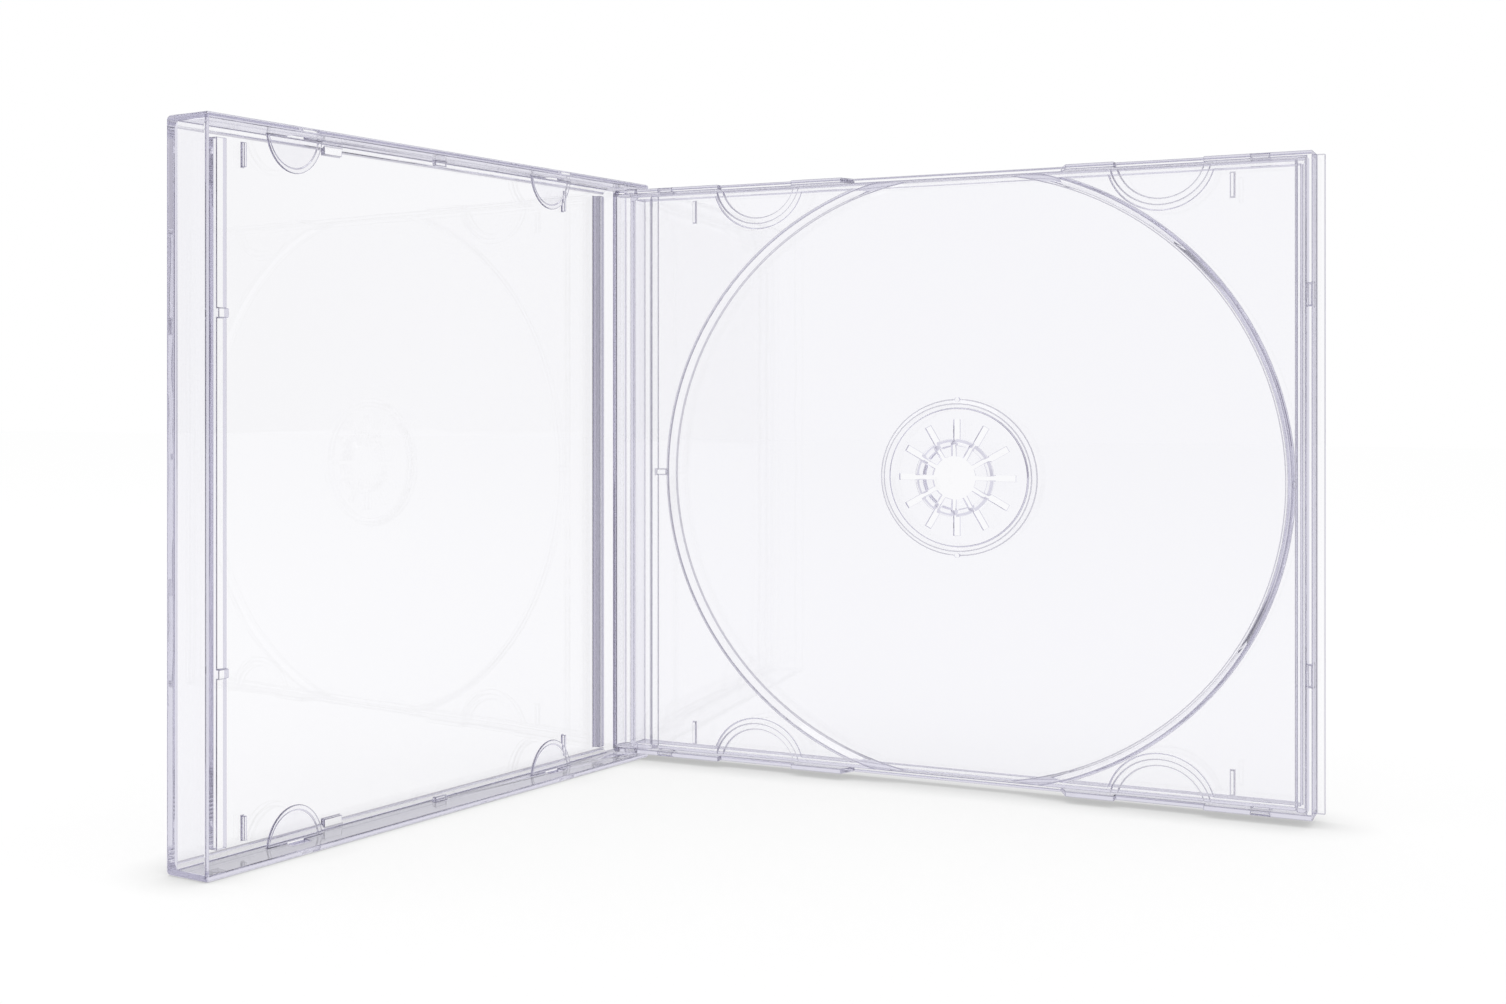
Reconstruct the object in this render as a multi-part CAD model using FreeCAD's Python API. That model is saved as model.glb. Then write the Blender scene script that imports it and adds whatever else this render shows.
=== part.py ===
"""A clear jewel case for one 12 cm disc, standing open on its long edge.

Millimetres, +Z up. The base stands along +X, with its front towards -Y. Every piece
is first drawn closed, in the case's own terms: along = X from the hinge end, depth =
how far in front of the back plane, up = Z. The lid is then swung open about its pins,
and all pieces are moved so that the origin is where the hinge line meets the floor.
"""
import FreeCAD
import Part
import math
import os

V = FreeCAD.Vector
os.makedirs("parts", exist_ok=True)

# The closed case
case_length = 142.0
case_height = 124.0
case_depth = 10.4
open_angle = 96.6

# Walls and clearances
lid_panel = 1.2
lid_wall = 1.0
back_panel = 1.0
base_wall = 1.0
tray_skin = 0.9
gap = 0.3
end_gap = 0.4
fit = 0.2

# Hinge
pin_along = 4.8
pin_depth = 4.4
pin_radius = 1.5
pin_fit = 0.06

# Base
base_wall_depth = 8.0
spine_depth = 6.5
dip_before_disc = 21.35
dip_after_disc = 20.15
dip_depth = 4.2

# Disc recess and hub in the tray
disc_from_end = 66.65
recess_top_radius = 61.6
recess_floor_radius = 60.4
recess_floor = 4.2
tray_plane = 6.2
tray_border = 7.6
border_along = 10.4
border_slope = 1.0
strip_leg_along = 5.4
end_border = 1.4
end_border_slope = 0.4
seat_radius = 15.5
seat_rise = 1.0
seat_slope = 0.8
seat_dot_radius = 0.5
seat_dot_height = 0.3
crown_radius = 7.5
crown_wall = 0.9
crown_rise = 2.6
crown_lip = 0.25
crown_eye_radius = 4.3
crown_bore_drop = 1.6
crown_shoulder_drop = 1.3
crown_lip_drop = 0.8
crown_rim_inset = 0.5
crown_dish = 0.6
finger_count = 12
finger_slot = 0.9
spoke_slot = 1.3
spoke_end_radius = 11.6

# Booklet tabs on the lid, with their hollows in the tray
hinge_tab_along = 33.8
end_tab_from_end = 28.0
tab_half_width = 7.3
tab_reach = 6.3
tab_skin = 0.8
tab_edge = 0.9
booklet_space = 1.8
tab_window = 4.6
tab_window_depth = 1.6
hollow_margin = 0.7
hollow_drop = 0.8
hollow_ledge = 1.2
hollow_ledge_drop = 0.35

# Ridges across the inside of the lid's panel
stop_ridge_along = 12.1
stop_ridge_width = 1.7
stop_ridge_height = 1.8
end_ridge_from_end = 11.3
end_ridge_width = 2.5
end_ridge_height = 2.0
ridge_nub_reach = 30.0
ridge_nub = 1.6
ridge_nub_height = 0.5

# Small mouldings
hinge_rib_along = 25.4
end_rib_from_end = 17.6
corner_rib_length = 4.2
corner_rib_width = 0.7
corner_rib_height = 0.8
rail_nub_before_disc = 3.6
rail_nub_length = 3.6
rail_nub_rise = 1.0
rail_foot_from_end = 40.5
rail_foot_length = 5.0
rail_foot_rise = 1.8
rail_foot_height = 0.7
hinge_tray_rib_along = 19.5
end_tray_rib_from_end = 15.5
tray_rib_length = 4.6
tray_rib_height = 0.5
end_snap_reach = 34.7
snap_length = 4.0
snap_height = 1.2
snap_depth = 5.4
hinge_latch_along = 13.0
end_latch_from_end = 10.4
latch_length = 3.0
bridge_width = 1.2
bridge_height = 0.6
edge_round = 0.8
rim_round = 0.35
inner_chamfer = 1.0

# Derived places
lid_inside = case_depth - lid_panel
lip_depth = back_panel + gap
base_low = lid_wall + gap
base_high = case_height - base_low
middle = case_height / 2
base_end = case_length - lid_wall - end_gap
nose_radius = lid_inside - pin_depth - gap
tray_low = base_low + base_wall + fit
tray_high = case_height - tray_low
tray_start = pin_along - math.sqrt(nose_radius ** 2 - (tray_border - pin_depth) ** 2) + fit
tray_end = base_end - base_wall - fit
tab_top = lid_inside - booklet_space
tab_under = tab_top - tab_skin
seat_plane = recess_floor + seat_rise
crown_top = seat_plane + crown_rise
disc_along = case_length - disc_from_end
tab_along = (hinge_tab_along, case_length - end_tab_from_end)
stop_ridge = (stop_ridge_along, stop_ridge_along + stop_ridge_width)
end_ridge = (case_length - end_ridge_from_end, case_length - end_ridge_from_end + end_ridge_width)
ridge_nub_up = (middle - ridge_nub_reach, middle + ridge_nub_reach)
corner_rib_along = (hinge_rib_along, case_length - end_rib_from_end)
rail_nub_along = disc_along - rail_nub_before_disc
rail_foot_along = case_length - rail_foot_from_end
tray_rib_along = (hinge_tray_rib_along, case_length - end_tray_rib_from_end)
end_snap_up = (middle - end_snap_reach, middle + end_snap_reach)
latch_along = (hinge_latch_along, case_length - end_latch_from_end)


def block(along0, along1, depth0, depth1, up0, up1):
    """A plain block between two places along, in depth and up."""
    return Part.makeBox(along1 - along0, depth1 - depth0, up1 - up0, V(along0, -depth1, up0))


def plate(points, up0, up1):
    """A plate between two heights with the outline of (along, depth) points."""
    corners = [V(along, -depth, up0) for along, depth in points]
    face = Part.Face(Part.makePolygon(corners + corners[:1]))
    return face.extrude(V(0, 0, up1 - up0))


def upright(radius, up0, up1):
    """A round bar about the hinge line."""
    return Part.makeCylinder(radius, up1 - up0, V(pin_along, -pin_depth, up0))


def disc(radius, depth0, depth1, top_radius=None):
    """A round or tapered plug about the hub line, from depth0 to depth1."""
    start = V(disc_along, -depth0, middle)
    if top_radius is None:
        return Part.makeCylinder(radius, depth1 - depth0, start, V(0, -1, 0))
    return Part.makeCone(radius, top_radius, depth1 - depth0, start, V(0, -1, 0))


def mirrored(shape):
    """The same shape at the other long side of the case."""
    return shape.mirror(V(0, 0, middle), V(0, 0, 1))


def both_sides(shapes):
    """Each shape and its copy at the other long side."""
    return [copy for shape in shapes for copy in (shape, mirrored(shape))]


def half_moon(along, edge_up, reach, half_width, depth0, depth1):
    """A half moon that grows upwards from edge_up, as a plate between two depths."""
    left = V(along - half_width, -depth0, edge_up)
    right = V(along + half_width, -depth0, edge_up)
    tip = V(along, -depth0, edge_up + reach)
    outline = Part.Wire([Part.Arc(left, tip, right).toShape(), Part.LineSegment(right, left).toShape()])
    return Part.Face(outline).extrude(V(0, depth0 - depth1, 0))


def round_corners(shape, radius, wanted):
    """Rounds the straight edges whose middle and direction satisfy the test."""
    edges = [edge for edge in shape.Edges if is_straight(edge) and wanted(edge)]
    return shape.makeFillet(radius, edges)


def is_straight(edge):
    """Whether an edge is a straight line and not shrunk to a point."""
    return not edge.Degenerated and edge.Curve.TypeId == "Part::GeomLine"


def lid_shell():
    """The lid's panel, its two rails with their hinge ears, and its end wall."""
    outer = block(0, case_length, lip_depth, case_depth, 0, case_height)
    hollow = block(-1, case_length - lid_wall, lip_depth - 1, lid_inside, lid_wall, case_height - lid_wall)
    chamfered = hollow.makeChamfer(inner_chamfer, [edge for edge in hollow.Edges if inside_panel_edge(edge)])
    nose_room = block(-1, pin_along + nose_radius + gap, lip_depth - 1, case_depth, 0, case_height)
    hollow = chamfered.fuse(hollow.common(nose_room))
    ear_radius = pin_depth - lip_depth
    ear_square = block(-1, pin_along, lip_depth - 1, pin_depth, -1, case_height + 1)
    ear_round = upright(ear_radius, -1, case_height + 1)
    shell = outer.cut(hollow).cut(ear_square.cut(ear_round))
    shell = round_corners(shell, edge_round, outside_lid_edge)
    return round_corners(shell, rim_round, free_lid_edge)


def outside_lid_edge(edge):
    """The lid's outer corners: round its panel, and down its end wall."""
    spot = edge.valueAt((edge.FirstParameter + edge.LastParameter) / 2)
    on_face = abs(spot.y + case_depth) < 0.01
    on_side = spot.z < 0.01 or spot.z > case_height - 0.01
    on_end = abs(spot.x - case_length) < 0.01
    return (on_face and (on_side or on_end)) or (on_side and on_end)


def free_lid_edge(edge):
    """The free edges of the rails and of the end wall."""
    spot = edge.valueAt((edge.FirstParameter + edge.LastParameter) / 2)
    return abs(spot.y + lip_depth) < 0.01 and spot.x > pin_along + 1


def inside_panel_edge(edge):
    """Where the panel meets the rails and the end wall, on the inside."""
    spot = edge.valueAt((edge.FirstParameter + edge.LastParameter) / 2)
    return abs(spot.y + lid_inside) < 0.01 and spot.x > 0


def hinge_pin():
    """The pin inside the lower ear, reaching through the base's wall."""
    return upright(pin_radius, lid_wall, base_low + base_wall)


def booklet_tab(along):
    """A half-moon tab on the lower rail, with a thinner rim round its edge."""
    half = (tab_under + tab_top) / 2
    rim = half_moon(along, lid_wall, tab_reach, tab_half_width, tab_under, half)
    body = half_moon(along, lid_wall, tab_reach - tab_edge, tab_half_width - tab_edge, half - 0.01, tab_top)
    return rim.fuse(body)


def tab_slot(along):
    """The mould's window through the rail beside a tab."""
    half = tab_window / 2
    return block(along - half, along + half, tab_under - tab_window_depth, tab_under, -1, lid_wall + 1)


def lid_ridge(span, height):
    """A ridge across the panel, clear of the base's long walls."""
    ends = tray_low + gap
    return block(span[0], span[1], lid_inside - height, lid_inside, ends, case_height - ends)


def ridge_nubs():
    """Small bumps on the crest of the ridge at the opening end."""
    crest = lid_inside - end_ridge_height
    return [block(end_ridge[0], end_ridge[1], crest - ridge_nub_height, crest,
                  up - ridge_nub / 2, up + ridge_nub / 2) for up in ridge_nub_up]


def corner_rib(along):
    """A short upright rib on the panel near a rail."""
    low = tray_low + gap
    return block(along, along + corner_rib_width, lid_inside - corner_rib_height, lid_inside,
                 low, low + corner_rib_length)


def rail_nub():
    """The closing nub on the inside of the rail, over the base's dip."""
    half = rail_nub_length / 2
    return block(rail_nub_along - half, rail_nub_along + half, tab_under, tab_top,
                 lid_wall, lid_wall + rail_nub_rise)


def rail_foot():
    """A low foot in the corner of the rail and the panel, beside the tab at the opening end."""
    half = rail_foot_length / 2
    return block(rail_foot_along - half, rail_foot_along + half, lid_inside - rail_foot_height, lid_inside,
                 lid_wall, lid_wall + rail_foot_rise)


def make_lid():
    """The whole lid, one moulding, swung open about its pins."""
    tabs = [booklet_tab(along) for along in tab_along]
    ribs = [corner_rib(along) for along in corner_rib_along]
    added = both_sides([hinge_pin(), rail_nub(), rail_foot()] + tabs + ribs)
    added += [lid_ridge(stop_ridge, stop_ridge_height), lid_ridge(end_ridge, end_ridge_height)]
    added += ridge_nubs()
    lid = lid_shell().fuse(added)
    lid = lid.cut(both_sides([tab_slot(along) for along in tab_along]))
    lid = lid.removeSplitter()
    lid.rotate(V(pin_along, -pin_depth, 0), V(0, 0, 1), -open_angle)
    return lid


def nose_outline(inset):
    """The rounded hinge end of the base, as a bar that follows the swing of the lid."""
    return upright(nose_radius - inset, base_low - 1, base_high + 1)


def beyond_nose(inset):
    """Everything in front of the back plane and on the far side of the hinge line."""
    return block(pin_along, case_length + 1, inset, case_depth, base_low - 1, base_high + 1)


def base_envelope():
    """The outside of the base: rounded at the hinge, with a flange at the far end."""
    wall_line = [(0, 0), (case_length, 0), (case_length, back_panel), (base_end, back_panel),
                 (base_end, base_wall_depth), (0, base_wall_depth)]
    outside = plate(wall_line, base_low, base_high)
    return outside.common(nose_outline(0).fuse(beyond_nose(-1)))


def base_hollow():
    """The space inside the base that the tray fills."""
    room = block(pin_along, base_end - base_wall, back_panel, case_depth,
                 base_low + base_wall, base_high - base_wall)
    nose = upright(nose_radius - base_wall, base_low + base_wall, base_high - base_wall)
    above_spine = block(-1, pin_along, spine_depth, case_depth, base_low + base_wall, base_high - base_wall)
    return room.fuse([nose, above_spine])


def base_dip():
    """The lower stretch of both long walls, where fingers reach the disc's edge."""
    slope = (base_wall_depth - dip_depth) / 2
    start = disc_along - dip_before_disc
    end = disc_along + dip_after_disc
    points = [(start, dip_depth), (end, dip_depth), (end + slope, base_wall_depth + 1),
              (start - slope, base_wall_depth + 1)]
    return plate(points, 0, case_height)


def tab_notch(along):
    """Room in the long walls for a booklet tab of the closed lid."""
    half = tab_half_width + hollow_margin
    return block(along - half, along + half, tab_under - gap, case_depth, 0, case_height)


def snap_window(up):
    """A window in the far spine for one of the tray's snaps."""
    half = snap_length / 2 + fit
    return block(base_end - base_wall - 0.5, base_end + 0.5,
                 snap_depth - snap_height - fit, snap_depth + fit,
                 up - half, up + half)


def latch_window(along):
    """A window in the lower long wall for one of the tray's side latches."""
    half = latch_length / 2 + fit
    return block(along - half, along + half, snap_depth - snap_height - fit, snap_depth + fit,
                 base_low - 0.5, base_low + base_wall + 0.5)


def make_base():
    """The back cover: panel, long walls, both spines and the pin holes."""
    hole = upright(pin_radius + pin_fit, 0, case_height)
    windows = [snap_window(up) for up in end_snap_up]
    windows += both_sides([latch_window(along) for along in latch_along])
    cuts = [base_hollow(), base_dip(), hole] + windows + [tab_notch(along) for along in tab_along]
    return base_envelope().cut(cuts).removeSplitter()


def tray_blank():
    """The tray's upper side: a plane between a strip at the hinge and a border at the far end."""
    outline = [(tray_start, spine_depth + fit), (tray_start, tray_border), (border_along, tray_border),
               (border_along + border_slope, tray_plane),
               (tray_end - end_border - end_border_slope, tray_plane),
               (tray_end - end_border, tray_border), (tray_end, tray_border), (tray_end, back_panel),
               (strip_leg_along, back_panel), (strip_leg_along, spine_depth + fit)]
    return plate(outline, tray_low, tray_high)


def tray_underside():
    """The hollow under the tray's upper side, one skin thick from it."""
    left = strip_leg_along + tray_skin
    right = tray_end - tray_skin
    outline = [(left, back_panel - 1), (left, tray_border - tray_skin),
               (border_along - tray_skin / 2, tray_border - tray_skin),
               (border_along + border_slope - tray_skin / 2, tray_plane - tray_skin),
               (tray_end - end_border, tray_plane - tray_skin),
               (right, tray_plane - tray_skin), (right, back_panel - 1)]
    return plate(outline, tray_low + tray_skin, tray_high - tray_skin)


def recess_bowl():
    """The skin round the disc recess and under its floor, inside the tray's sides."""
    under = recess_floor - tray_skin
    bowl = disc(recess_floor_radius + tray_skin, under, tray_plane, recess_top_radius + tray_skin)
    limits = block(tray_start, tray_end, 0, case_depth, tray_low, tray_high)
    return bowl.common(limits)


def recess_cut():
    """The disc recess, running out through both long sides of the tray."""
    slope = (recess_top_radius - recess_floor_radius) / (tray_plane - recess_floor)
    mouth = tray_border + 1
    cut = disc(recess_floor_radius, recess_floor, mouth, recess_floor_radius + slope * (mouth - recess_floor))
    kept_strips = block(border_along + border_slope, tray_end - end_border - end_border_slope,
                        recess_floor, mouth, 0, case_height)
    return cut.common(kept_strips)


def hub_seat():
    """The raised ring that the disc's middle rests on, hollow underneath."""
    foot = disc(seat_radius, recess_floor - tray_skin, recess_floor)
    top = disc(seat_radius, recess_floor, seat_plane, seat_radius - seat_slope)
    under = disc(seat_radius - seat_slope - tray_skin, recess_floor - tray_skin - 1, seat_plane - tray_skin)
    dots = [Part.makeCylinder(seat_dot_radius, seat_dot_height + tray_skin,
                              V(disc_along, -recess_floor + tray_skin / 2, middle + side * seat_radius),
                              V(0, -1, 0)) for side in (-1, 1)]
    return foot.fuse([top] + dots).cut(under)


def hub_crown():
    """The sprung crown that grips the disc's hole, turned about the hub line."""
    inner = crown_radius - crown_wall
    profile = [(crown_eye_radius, crown_top - crown_bore_drop), (inner, crown_top - crown_bore_drop),
               (inner, seat_plane - tray_skin), (crown_radius, seat_plane - tray_skin),
               (crown_radius, crown_top - crown_shoulder_drop),
               (crown_radius + crown_lip, crown_top - crown_lip_drop),
               (crown_radius - crown_rim_inset, crown_top), (crown_eye_radius, crown_top - crown_dish)]
    corners = [V(disc_along + radius, -depth, middle) for radius, depth in profile]
    face = Part.Face(Part.makePolygon(corners + corners[:1]))
    return face.revolve(V(disc_along, 0, middle), V(0, 1, 0), 360)


def hub_slots():
    """Radial slots: a fine one between each pair of crown fingers, wider through the seat."""
    slots = []
    for index in range(finger_count):
        fine = Part.makeBox(crown_radius + 1, case_depth, finger_slot, V(0, -case_depth, -finger_slot / 2))
        spoke = Part.makeBox(spoke_end_radius - crown_radius, seat_plane + 0.5, spoke_slot,
                             V(crown_radius, -seat_plane - 0.5, -spoke_slot / 2))
        for slot in (fine, spoke):
            slot.rotate(V(0, 0, 0), V(0, 1, 0), 360 * index / finger_count)
            slot.translate(V(disc_along, 0, middle))
            slots.append(slot)
    return slots


def hub_eye():
    """The open middle of the hub."""
    return disc(crown_radius - crown_wall, 0, crown_top - crown_bore_drop)


def tab_hollow(along):
    """The half-moon hollow in the tray under a booklet tab, with a shallow ledge round it."""
    inner = half_moon(along, tray_low - 1, tab_reach + hollow_margin, tab_half_width + hollow_margin,
                      tray_plane - hollow_drop, case_depth)
    ledge = half_moon(along, tray_low - 1, tab_reach + hollow_margin + hollow_ledge,
                      tab_half_width + hollow_margin + hollow_ledge,
                      tray_plane - hollow_ledge_drop, case_depth)
    return inner.fuse(ledge)


def hollow_skin(along):
    """The skin that closes a hollow from behind."""
    return half_moon(along, tray_low, tab_reach + hollow_margin + hollow_ledge,
                     tab_half_width + hollow_margin + hollow_ledge + tray_skin / 2,
                     tray_plane - hollow_drop - tray_skin, tray_plane)


def tray_rib(along):
    """A short upright rib in a corner of the tray."""
    low = tray_low + hollow_margin + hollow_ledge
    return block(along, along + corner_rib_width, tray_plane - 0.1, tray_plane + tray_rib_height,
                 low, low + tray_rib_length)


def tray_snap(up):
    """A snap that holds the tray in the spine's window."""
    return block(tray_end - 0.5, base_end - gap, snap_depth - snap_height, snap_depth,
                 up - snap_length / 2, up + snap_length / 2)


def tray_latch(along):
    """A latch on the tray's lower side that clicks into the long wall's window."""
    half = latch_length / 2
    return block(along - half, along + half, snap_depth - snap_height, snap_depth,
                 base_low + fit, tray_low + tray_skin / 2)


def middle_bridges():
    """Low bridges from the recess's edge to the borders at mid height."""
    half = bridge_width / 2
    bar = block(border_along, tray_end - end_border, tray_plane - 0.1, tray_plane + bridge_height,
                middle - half, middle + half)
    return bar.cut(disc(recess_top_radius + gap, 0, case_depth))


def make_tray():
    """The media tray: one thin moulding with the disc recess and the hub."""
    skin = tray_blank().cut(tray_underside())
    skin = skin.fuse([recess_bowl()] + both_sides([hollow_skin(along) for along in tab_along]))
    skin = skin.cut([recess_cut()] + both_sides([tab_hollow(along) for along in tab_along]))
    skin = skin.cut(disc(seat_radius - seat_slope, 0, tray_border))
    skin = skin.fuse([hub_seat(), hub_crown()])
    skin = skin.cut([hub_eye()] + hub_slots())
    ribs = both_sides([tray_rib(along) for along in tray_rib_along])
    snaps = [tray_snap(up) for up in end_snap_up] + both_sides([tray_latch(along) for along in latch_along])
    return skin.fuse(ribs + snaps + [middle_bridges()]).removeSplitter()


for name, maker in (("lid", make_lid), ("base", make_base), ("tray", make_tray)):
    shape = maker()
    shape.translate(V(-pin_along, pin_depth, 0))
    print(name, len(shape.Solids), "solid", round(shape.Volume), "mm3, valid:", shape.isValid())
    shape.exportStep("parts/" + name + ".step")
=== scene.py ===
"""A clear jewel case, standing open on a white floor in soft studio light.

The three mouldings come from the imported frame. Each is rebuilt here with its
moulded edge radius and given the look of clear polystyrene.
"""
import math
import bmesh
import bpy
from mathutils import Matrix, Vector


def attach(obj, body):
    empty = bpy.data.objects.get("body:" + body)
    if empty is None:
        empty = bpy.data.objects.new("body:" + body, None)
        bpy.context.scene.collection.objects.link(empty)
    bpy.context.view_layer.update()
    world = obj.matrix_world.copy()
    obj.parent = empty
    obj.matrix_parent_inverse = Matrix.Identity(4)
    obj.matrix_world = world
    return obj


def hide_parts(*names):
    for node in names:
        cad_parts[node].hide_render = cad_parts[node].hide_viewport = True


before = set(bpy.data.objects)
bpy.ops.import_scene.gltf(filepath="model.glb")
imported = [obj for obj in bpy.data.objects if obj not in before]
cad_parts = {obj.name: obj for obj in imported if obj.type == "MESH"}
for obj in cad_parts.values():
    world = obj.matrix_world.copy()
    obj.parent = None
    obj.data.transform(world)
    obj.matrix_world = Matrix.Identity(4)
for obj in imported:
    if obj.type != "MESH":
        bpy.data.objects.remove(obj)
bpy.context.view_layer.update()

# The photograph and its viewpoint, in metres and degrees
IMAGE_WIDTH = 1506.0
IMAGE_HEIGHT = 1004.0
FOCAL_PIXELS = 1954.0
VIEW_CENTRE_X = 436.4
HORIZON_Y = 397.1
CAMERA_PLACE = Vector((0.1772, -0.3884, 0.0780))
CAMERA_TURN = 30.29
SENSOR_WIDTH = 36.0

# Clear polystyrene, with each moulding's long waves and light scuffs
REFRACTION = 1.59
CLEAR_TINT = (0.99, 0.99, 0.998)
# Painted shade: the lilac grey painted on the rounded edges and the stop ridge
EDGE_PAINTED_SHADE = (0.42, 0.41, 0.48)
DEPTH_TINT = (0.58, 0.56, 0.70)
DEPTH_DENSITY = 6.0
WEAR = {
    "lid": {"Waves Per Metre": 60.0, "Wave Height": 0.00001,
            "Scuffs Per Metre": 90.0, "Scuff Roughness": 0.03},
    "base": {"Waves Per Metre": 45.0, "Wave Height": 0.00001,
             "Scuffs Per Metre": 120.0, "Scuff Roughness": 0.03},
    "tray": {"Waves Per Metre": 80.0, "Wave Height": 0.000015,
             "Scuffs Per Metre": 70.0, "Scuff Roughness": 0.02},
}
SCUFFS_BEGIN = 0.58
SCUFFS_FULL = 0.75

# Edges: how far they are rounded, and which angles and widths tell an edge or a flat from a curve
EDGE_RADIUS = 0.00015
# The face attribute that marks the rounded edges and the stop ridge for painted shade
PAINTED_SHADE_MARK = "painted_edge_shade"
MERGE_WITHIN = 0.000001
ONE_PLANE = math.radians(0.5)
GENTLE_ANGLE = math.radians(0.6)
SHARP_ANGLE = math.radians(28)
SHADED_SHARP = math.radians(50)
WIDEST_FACET = 0.0022

# Places on the mouldings: the tray stands off the base by a hair, and the stop ridge gets the painted edge
# shade all over
TRAY_REST = 0.00002
STOP_RIDGE_SHADE_ZONE = ((-0.0056, -0.0092, 0.0), (-0.0037, -0.0063, 0.124))
HUB_ALONG = 0.07055
HUB_UP = 0.062
HUB_REACH = 0.0122

# Fine upright ribs on the tray's strip beside the hinge
STRIP_RIBS = {"Count": 4, "Spacing": 0.00085, "Radius": 0.00003, "Length": 0.112,
              "Start": (-0.0010, -0.003285, 0.0040)}

# Studio: colours and strengths, and the directions in which the room is dark
FLOOR_COLOUR = (0.985, 0.985, 0.985)
FLOOR_HALF = 3.0
FLOOR_GLOW = 0.82
# Painted contact shadow on the floor: how far it reaches and how grey it gets
CONTACT_REACH = 0.012
CONTACT_SHADE = 0.45
FLOOR_DROP = 0.00005
MIRRORED_ROOM = (0.74, 0.73, 0.81)
STUDIO_DARK = (0.30, 0.28, 0.36)
DARK_SIDES = ((0.503, -0.862, 0.06), (-0.98, 0.18, 0.0), (0.97, 0.24, 0.05))
DARK_SIDE_BEGINS = 0.82
DARK_SIDE_FULL = 0.98
DARK_ABOVE_BEGINS = 0.55
DARK_ABOVE_SHARE = 0.5
ROOM_LIGHT = 0.97
LIT_PLACE = Vector((0.04, -0.05, 0.05))
SOFTBOX_POWER = 1.5
SOFTBOXES = (("softbox_over", (0.05, -0.25, 1.1), 0.8), ("softbox_left", (-1.2, -0.5, 0.9), 1.0))

# Light runs a long way along the clear panels before it leaves them
LONGEST_PATH = 96


def new_material(name):
    """A material whose node tree is still empty."""
    material = bpy.data.materials.new(name)
    material.use_nodes = True
    material.node_tree.nodes.clear()
    return material


def add(tree, kind, **values):
    """A node with some of its settings or inputs filled in."""
    node = tree.nodes.new(kind)
    for key, value in values.items():
        if key in node.inputs:
            node.inputs[key].default_value = value
        else:
            setattr(node, key, value)
    return node


def moulded_skin_and_edge_shade():
    """A shader group for a moulded skin: painted shade on the marked edges, long shallow waves and a light
    scuff in places.
    """
    group = bpy.data.node_groups.new("moulded_skin_and_edge_shade", "ShaderNodeTree")
    for label in ("Waves Per Metre", "Wave Height", "Scuffs Per Metre", "Scuff Roughness"):
        group.interface.new_socket(name=label, in_out="INPUT", socket_type="NodeSocketFloat")
    for label in ("Tint", "Edge Tint"):
        group.interface.new_socket(name=label, in_out="INPUT", socket_type="NodeSocketColor")
    group.interface.new_socket(name="Color", in_out="OUTPUT", socket_type="NodeSocketColor")
    group.interface.new_socket(name="Roughness", in_out="OUTPUT", socket_type="NodeSocketFloat")
    group.interface.new_socket(name="Normal", in_out="OUTPUT", socket_type="NodeSocketVector")
    given = add(group, "NodeGroupInput")
    result = add(group, "NodeGroupOutput")
    # Painted shade: faces marked as rounded edges take the darker edge colour
    edges = add(group, "ShaderNodeAttribute", attribute_name=PAINTED_SHADE_MARK)
    tint = add(group, "ShaderNodeMix", data_type="RGBA")
    group.links.new(edges.outputs["Fac"], tint.inputs["Factor"])
    group.links.new(given.outputs["Tint"], tint.inputs[6])
    group.links.new(given.outputs["Edge Tint"], tint.inputs[7])
    group.links.new(tint.outputs[2], result.inputs["Color"])
    place = add(group, "ShaderNodeTexCoord")
    waves = add(group, "ShaderNodeTexNoise", Detail=1.0)
    group.links.new(place.outputs["Object"], waves.inputs["Vector"])
    group.links.new(given.outputs["Waves Per Metre"], waves.inputs["Scale"])
    skin = add(group, "ShaderNodeBump", Strength=1.0)
    group.links.new(waves.outputs["Fac"], skin.inputs["Height"])
    group.links.new(given.outputs["Wave Height"], skin.inputs["Distance"])
    group.links.new(skin.outputs["Normal"], result.inputs["Normal"])
    marks = add(group, "ShaderNodeTexNoise", Detail=4.0, Distortion=0.6)
    group.links.new(place.outputs["Object"], marks.inputs["Vector"])
    group.links.new(given.outputs["Scuffs Per Metre"], marks.inputs["Scale"])
    rare = add(group, "ShaderNodeMapRange", interpolation_type="SMOOTHSTEP")
    rare.inputs["From Min"].default_value = SCUFFS_BEGIN
    rare.inputs["From Max"].default_value = SCUFFS_FULL
    group.links.new(marks.outputs["Fac"], rare.inputs["Value"])
    scuff = add(group, "ShaderNodeMath", operation="MULTIPLY")
    group.links.new(rare.outputs["Result"], scuff.inputs[0])
    group.links.new(given.outputs["Scuff Roughness"], scuff.inputs[1])
    group.links.new(scuff.outputs[0], result.inputs["Roughness"])
    return group


def clear_plastic(name, surface, wear):
    """Clear polystyrene with its moulded skin and painted edge shade."""
    material = new_material(name)
    tree = material.node_tree
    skin = add(tree, "ShaderNodeGroup", node_tree=surface)
    for label, value in wear.items():
        skin.inputs[label].default_value = value
    skin.inputs["Tint"].default_value = (*CLEAR_TINT, 1)
    # The darker colour is painted shade for the rounded edges and the stop ridge
    skin.inputs["Edge Tint"].default_value = (*EDGE_PAINTED_SHADE, 1)
    shader = add(tree, "ShaderNodeBsdfPrincipled")
    tree.links.new(skin.outputs["Roughness"], shader.inputs["Roughness"])
    tree.links.new(skin.outputs["Normal"], shader.inputs["Normal"])
    tree.links.new(skin.outputs["Color"], shader.inputs["Base Color"])
    shader.inputs["Transmission Weight"].default_value = 1.0
    shader.inputs["IOR"].default_value = REFRACTION
    output = add(tree, "ShaderNodeOutputMaterial")
    tree.links.new(shader.outputs["BSDF"], output.inputs["Surface"])
    depth = add(tree, "ShaderNodeVolumeAbsorption")
    depth.inputs["Color"].default_value = (*DEPTH_TINT, 1)
    depth.inputs["Density"].default_value = DEPTH_DENSITY
    tree.links.new(depth.outputs["Volume"], output.inputs["Volume"])
    return material


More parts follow.
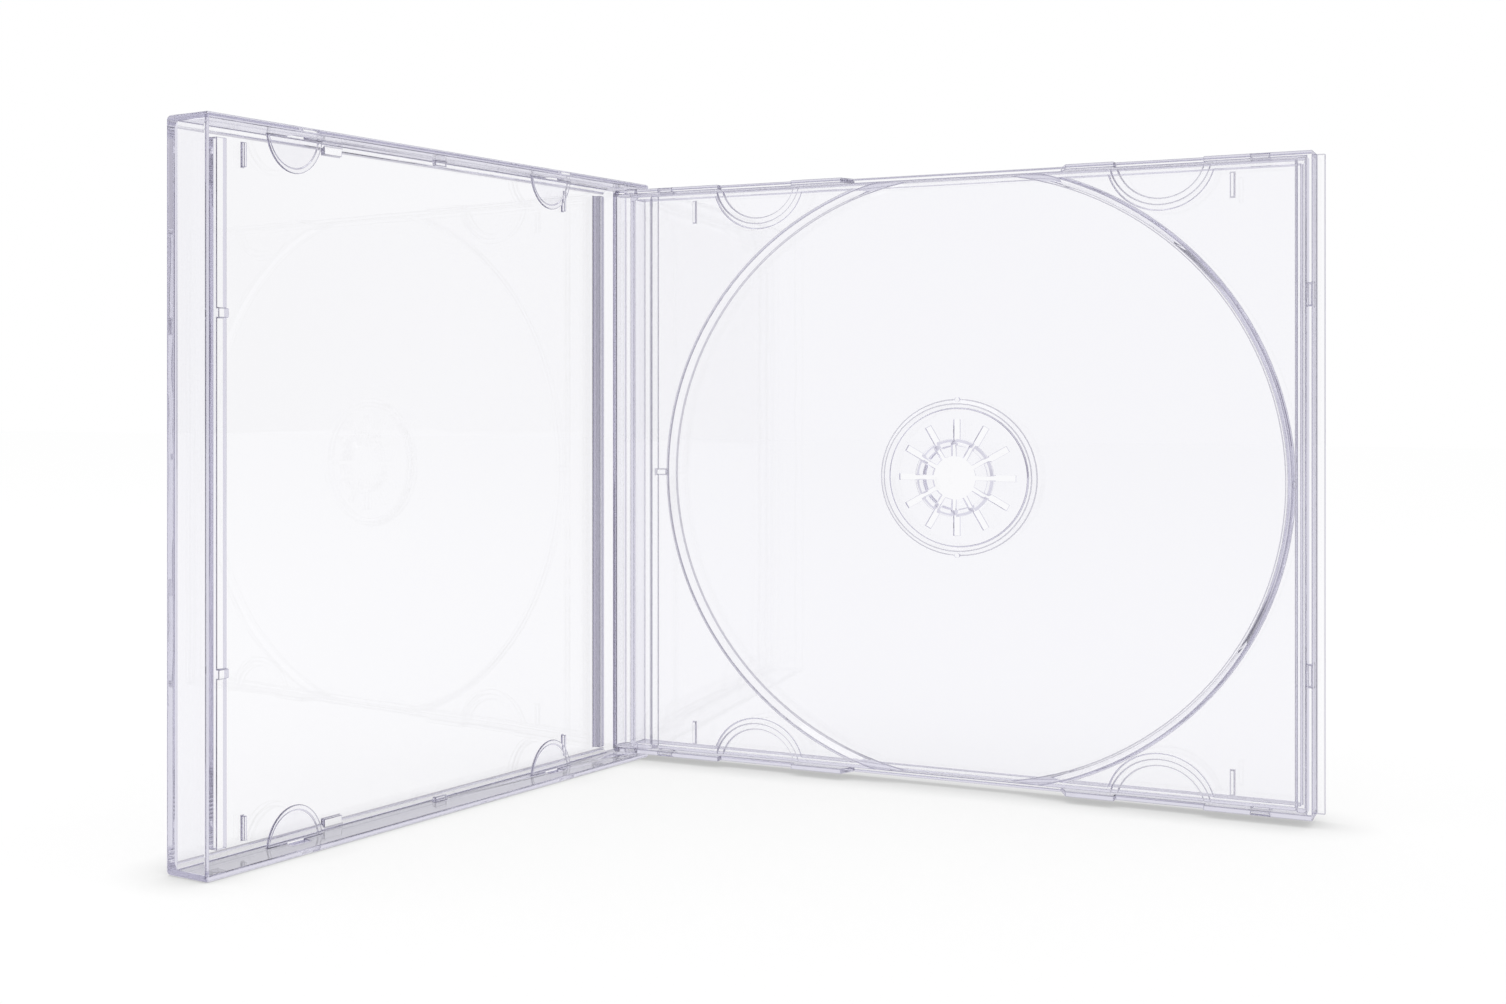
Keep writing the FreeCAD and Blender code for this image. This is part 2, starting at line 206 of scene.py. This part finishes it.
def joins_gently(edge):
    """Whether an edge only divides one curved surface into facets."""
    return edge.is_manifold and GENTLE_ANGLE < edge.calc_face_angle(0) < SHARP_ANGLE


def is_flat(face):
    """Whether a face is a flat of its own and not a facet of a curve."""
    width = 2 * face.calc_area() / face.calc_perimeter()
    return width > WIDEST_FACET or not any(joins_gently(edge) for edge in face.edges)


def rounded_copy(node, forward):
    """A copy of a moulding, moved forward by a hair if asked, with its sharp edges slightly rounded."""
    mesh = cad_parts[node].data.copy()
    mesh.name = node + "_moulding"
    work = bmesh.new()
    work.from_mesh(mesh)
    bmesh.ops.remove_doubles(work, verts=work.verts, dist=MERGE_WITHIN)
    bmesh.ops.dissolve_limit(work, angle_limit=ONE_PLANE, verts=work.verts, edges=work.edges)
    for face in work.faces:
        face.smooth = not is_flat(face)
    round_sharp_edges(work)
    for edge in work.edges:
        edge.smooth = edge.calc_face_angle(0) < SHADED_SHARP
    for corner in work.verts:
        corner.co.y -= forward
    work.to_mesh(mesh)
    work.free()
    piece = bpy.data.objects.new(node + "_moulding", mesh)
    bpy.context.scene.collection.objects.link(piece)
    return piece


def round_sharp_edges(work):
    """Rounds the sharp edges, apart from the hub's and very short ones, and marks the rounded edges and
    the stop ridge for painted shade.
    """
    painted_shade_mark = work.faces.layers.float.new(PAINTED_SHADE_MARK)
    sharp = [edge for edge in work.edges
             if edge.calc_face_angle(0) > SHARP_ANGLE
             and edge.calc_length() > EDGE_RADIUS and not near_hub(edge)]
    rounded = bmesh.ops.bevel(work, geom=sharp, offset=EDGE_RADIUS, offset_type="OFFSET", segments=2,
                              profile=0.5, affect="EDGES", clamp_overlap=False)
    for face in rounded["faces"]:
        face.smooth = True
        face[painted_shade_mark] = 1.0
    # Painted shade: the stop ridge takes the darker edge colour on every face
    for face in work.faces:
        if lies_in(STOP_RIDGE_SHADE_ZONE, face):
            face[painted_shade_mark] = 1.0


def lies_in(zone, face):
    """Whether a face's middle is inside a box, given by its two corners."""
    return all(low < value < high for low, value, high in zip(zone[0], face.calc_center_median(), zone[1]))


def near_hub(edge):
    """Whether an edge belongs to the hub's fine fingers."""
    return all(math.hypot(corner.co.x - HUB_ALONG, corner.co.z - HUB_UP) < HUB_REACH
               for corner in edge.verts)


def set_material(piece, material):
    """Gives a piece its one material."""
    piece.data.materials.clear()
    piece.data.materials.append(material)


def rib_tree():
    """Geometry nodes for a row of upright ribs: one rod, copied at even spacing."""
    tree = bpy.data.node_groups.new("strip_ribs", "GeometryNodeTree")
    kinds = {"Count": "Int", "Spacing": "Float", "Radius": "Float", "Length": "Float", "Start": "Vector",
             "Material": "Material"}
    for label, kind in kinds.items():
        tree.interface.new_socket(name=label, in_out="INPUT", socket_type="NodeSocket" + kind)
    tree.interface.new_socket(name="Ribs", in_out="OUTPUT", socket_type="NodeSocketGeometry")
    given = add(tree, "NodeGroupInput")
    step = add(tree, "ShaderNodeCombineXYZ")
    tree.links.new(given.outputs["Spacing"], step.inputs["X"])
    row = add(tree, "GeometryNodeMeshLine")
    tree.links.new(given.outputs["Count"], row.inputs["Count"])
    tree.links.new(given.outputs["Start"], row.inputs["Start Location"])
    tree.links.new(step.outputs[0], row.inputs["Offset"])
    top = add(tree, "ShaderNodeCombineXYZ")
    tree.links.new(given.outputs["Length"], top.inputs["Z"])
    spine = add(tree, "GeometryNodeCurvePrimitiveLine")
    tree.links.new(top.outputs[0], spine.inputs["End"])
    outline = add(tree, "GeometryNodeCurvePrimitiveCircle", Resolution=12)
    tree.links.new(given.outputs["Radius"], outline.inputs["Radius"])
    rod = add(tree, "GeometryNodeCurveToMesh")
    rod.inputs["Fill Caps"].default_value = True
    tree.links.new(spine.outputs[0], rod.inputs["Curve"])
    tree.links.new(outline.outputs[0], rod.inputs["Profile Curve"])
    copies = add(tree, "GeometryNodeInstanceOnPoints")
    tree.links.new(row.outputs[0], copies.inputs["Points"])
    tree.links.new(rod.outputs[0], copies.inputs["Instance"])
    real = add(tree, "GeometryNodeRealizeInstances")
    tree.links.new(copies.outputs[0], real.inputs[0])
    finish = add(tree, "GeometryNodeSetMaterial")
    tree.links.new(real.outputs[0], finish.inputs["Geometry"])
    tree.links.new(given.outputs["Material"], finish.inputs["Material"])
    result = add(tree, "NodeGroupOutput")
    tree.links.new(finish.outputs[0], result.inputs[0])
    return tree


def make_strip_ribs(material):
    """The ribs as a plain mesh that rides with the tray."""
    carrier = bpy.data.objects.new("strip_rib_row", bpy.data.meshes.new("strip_rib_row"))
    bpy.context.scene.collection.objects.link(carrier)
    modifier = carrier.modifiers.new("ribs", "NODES")
    modifier.node_group = rib_tree()
    wanted = {**STRIP_RIBS, "Material": material}
    for socket in modifier.node_group.interface.items_tree:
        if socket.in_out == "INPUT":
            modifier[socket.identifier] = wanted[socket.name]
    mesh = bpy.data.meshes.new_from_object(carrier.evaluated_get(bpy.context.evaluated_depsgraph_get()))
    bpy.data.objects.remove(carrier)
    ribs = bpy.data.objects.new("tray_strip_ribs", mesh)
    bpy.context.scene.collection.objects.link(ribs)
    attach(ribs, "back")


def seen_rays(tree):
    """One for rays from the camera and for rays that polished plastic sends on, else zero."""
    path = add(tree, "ShaderNodeLightPath")
    total = path.outputs["Is Camera Ray"]
    for kind in ("Is Glossy Ray", "Is Transmission Ray"):
        longer = add(tree, "ShaderNodeMath", operation="ADD", use_clamp=True)
        tree.links.new(total, longer.inputs[0])
        tree.links.new(path.outputs[kind], longer.inputs[1])
        total = longer.outputs[0]
    return total


def mirrored_rays(tree):
    """One for what the plastic mirrors, inside it or on its faces, else zero."""
    path = add(tree, "ShaderNodeLightPath")
    mirrored = add(tree, "ShaderNodeMath", operation="GREATER_THAN")
    mirrored.inputs[1].default_value = 0.5
    tree.links.new(path.outputs["Glossy Depth"], mirrored.inputs[0])
    direct = add(tree, "ShaderNodeMath", operation="LESS_THAN")
    direct.inputs[1].default_value = 0.5
    tree.links.new(path.outputs["Diffuse Depth"], direct.inputs[0])
    both = add(tree, "ShaderNodeMath", operation="MULTIPLY")
    tree.links.new(mirrored.outputs[0], both.inputs[0])
    tree.links.new(direct.outputs[0], both.inputs[1])
    return both.outputs[0]


def contact_shade(tree):
    """A painted contact shadow: grey close to whatever stands on the floor, and white further off."""
    closeness = add(tree, "ShaderNodeAmbientOcclusion", samples=8, Distance=CONTACT_REACH)
    shade = add(tree, "ShaderNodeMapRange")
    shade.inputs["To Min"].default_value = 1.0 - CONTACT_SHADE
    tree.links.new(closeness.outputs["AO"], shade.inputs["Value"])
    return shade.outputs["Result"]


def make_floor():
    """A wide white floor that keeps the case's shadow, with a painted contact shadow close to it."""
    corners = [(along * FLOOR_HALF, across * FLOOR_HALF, -FLOOR_DROP)
               for along, across in ((-1, -1), (1, -1), (1, 1), (-1, 1))]
    mesh = bpy.data.meshes.new("floor")
    mesh.from_pydata(corners, [], [(0, 1, 2, 3)])
    floor = bpy.data.objects.new("floor", mesh)
    bpy.context.scene.collection.objects.link(floor)
    mesh.materials.append(floor_white())


def floor_white():
    """The floor's white, darkened by a painted contact shadow: plain paper to light, and a glow of its own
    to the camera and in the plastic.
    """
    material = new_material("floor_white")
    tree = material.node_tree
    # Painted contact shadow, multiplied into both the floor's colour and its glow
    contact = contact_shade(tree)
    shader = add(tree, "ShaderNodeBsdfDiffuse")
    near = add(tree, "ShaderNodeMix", data_type="RGBA", blend_type="MULTIPLY")
    near.inputs["Factor"].default_value = 1.0
    near.inputs[6].default_value = (*FLOOR_COLOUR, 1)
    tree.links.new(contact, near.inputs[7])
    tree.links.new(near.outputs[2], shader.inputs["Color"])
    glow = add(tree, "ShaderNodeEmission")
    tint = add(tree, "ShaderNodeMix", data_type="RGBA")
    tree.links.new(mirrored_rays(tree), tint.inputs["Factor"])
    tree.links.new(contact, tint.inputs[6])
    tint.inputs[7].default_value = (*MIRRORED_ROOM, 1)
    tree.links.new(tint.outputs[2], glow.inputs["Color"])
    share = add(tree, "ShaderNodeMapRange", clamp=True)
    share.inputs["To Min"].default_value = 0.0
    share.inputs["To Max"].default_value = FLOOR_GLOW
    tree.links.new(seen_rays(tree), share.inputs["Value"])
    whole = add(tree, "ShaderNodeMath", operation="MAXIMUM")
    tree.links.new(share.outputs[0], whole.inputs[0])
    tree.links.new(mirrored_rays(tree), whole.inputs[1])
    mix = add(tree, "ShaderNodeMixShader")
    tree.links.new(whole.outputs[0], mix.inputs[0])
    tree.links.new(shader.outputs[0], mix.inputs[1])
    tree.links.new(glow.outputs[0], mix.inputs[2])
    output = add(tree, "ShaderNodeOutputMaterial")
    tree.links.new(mix.outputs[0], output.inputs["Surface"])
    return material


def soft_step(tree, value, low, high, most):
    """A smooth step of a value between two limits, up to a largest share."""
    step = add(tree, "ShaderNodeMapRange", interpolation_type="SMOOTHSTEP")
    step.inputs["From Min"].default_value = low
    step.inputs["From Max"].default_value = high
    step.inputs["To Max"].default_value = most
    tree.links.new(value, step.inputs["Value"])
    return step.outputs["Result"]


def make_world():
    """White all round, with the dark side of the studio where the plastic's edges mirror it."""
    world = bpy.data.worlds.new("studio")
    bpy.context.scene.world = world
    world.use_nodes = True
    tree = world.node_tree
    tree.nodes.clear()
    place = add(tree, "ShaderNodeTexCoord")
    split = add(tree, "ShaderNodeSeparateXYZ")
    tree.links.new(place.outputs["Generated"], split.inputs[0])
    dark = soft_step(tree, split.outputs["Z"], DARK_ABOVE_BEGINS, 1.0, DARK_ABOVE_SHARE)
    for side in DARK_SIDES:
        towards = add(tree, "ShaderNodeVectorMath", operation="DOT_PRODUCT")
        towards.inputs[1].default_value = side
        tree.links.new(place.outputs["Generated"], towards.inputs[0])
        darkest = add(tree, "ShaderNodeMath", operation="MAXIMUM")
        tree.links.new(dark, darkest.inputs[0])
        side_dark = soft_step(tree, towards.outputs["Value"], DARK_SIDE_BEGINS, DARK_SIDE_FULL, 1.0)
        tree.links.new(side_dark, darkest.inputs[1])
        dark = darkest.outputs[0]
    room = add(tree, "ShaderNodeMix", data_type="RGBA")
    tree.links.new(dark, room.inputs["Factor"])
    room.inputs[6].default_value = (*MIRRORED_ROOM, 1)
    room.inputs[7].default_value = (*STUDIO_DARK, 1)
    mix = add(tree, "ShaderNodeMix", data_type="RGBA")
    tree.links.new(mirrored_rays(tree), mix.inputs["Factor"])
    mix.inputs[6].default_value = (1, 1, 1, 1)
    tree.links.new(room.outputs[2], mix.inputs[7])
    strength = add(tree, "ShaderNodeMapRange")
    strength.inputs["To Min"].default_value = ROOM_LIGHT
    tree.links.new(seen_rays(tree), strength.inputs["Value"])
    background = add(tree, "ShaderNodeBackground")
    tree.links.new(mix.outputs[2], background.inputs["Color"])
    tree.links.new(strength.outputs["Result"], background.inputs["Strength"])
    output = add(tree, "ShaderNodeOutputWorld")
    tree.links.new(background.outputs[0], output.inputs["Surface"])


def make_lamps():
    """A softbox over the case and a wider one to its left."""
    for name, place, size in SOFTBOXES:
        data = bpy.data.lights.new(name, "AREA")
        data.size = size
        data.energy = SOFTBOX_POWER
        lamp = bpy.data.objects.new(name, data)
        lamp.location = place
        lamp.rotation_euler = (LIT_PLACE - Vector(place)).to_track_quat("-Z", "Y").to_euler()
        bpy.context.scene.collection.objects.link(lamp)


def make_camera():
    """The photograph's viewpoint: level, with the framing shifted as in the photograph."""
    data = bpy.data.cameras.new("camera")
    data.sensor_width = SENSOR_WIDTH
    data.lens = FOCAL_PIXELS / IMAGE_WIDTH * SENSOR_WIDTH
    data.shift_x = (IMAGE_WIDTH / 2 - VIEW_CENTRE_X) / IMAGE_WIDTH
    data.shift_y = (HORIZON_Y - IMAGE_HEIGHT / 2) / IMAGE_WIDTH
    data.clip_start = 0.01
    camera = bpy.data.objects.new("camera", data)
    camera.location = CAMERA_PLACE
    camera.rotation_euler = (math.radians(90), 0, math.radians(CAMERA_TURN))
    bpy.context.scene.collection.objects.link(camera)
    bpy.context.scene.camera = camera


surface = moulded_skin_and_edge_shade()
for node, body, forward in (("lid", "cover", 0), ("base", "back", 0), ("tray", "back", TRAY_REST)):
    piece = rounded_copy(node, forward)
    set_material(piece, clear_plastic("clear_" + node, surface, WEAR[node]))
    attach(piece, body)
    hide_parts(node)
make_strip_ribs(bpy.data.materials["clear_tray"])

make_floor()
make_world()
make_lamps()
make_camera()
bpy.context.scene.view_settings.view_transform = "Standard"
bpy.context.scene.cycles.max_bounces = LONGEST_PATH
bpy.context.scene.cycles.transmission_bounces = LONGEST_PATH
bpy.context.scene.cycles.glossy_bounces = LONGEST_PATH
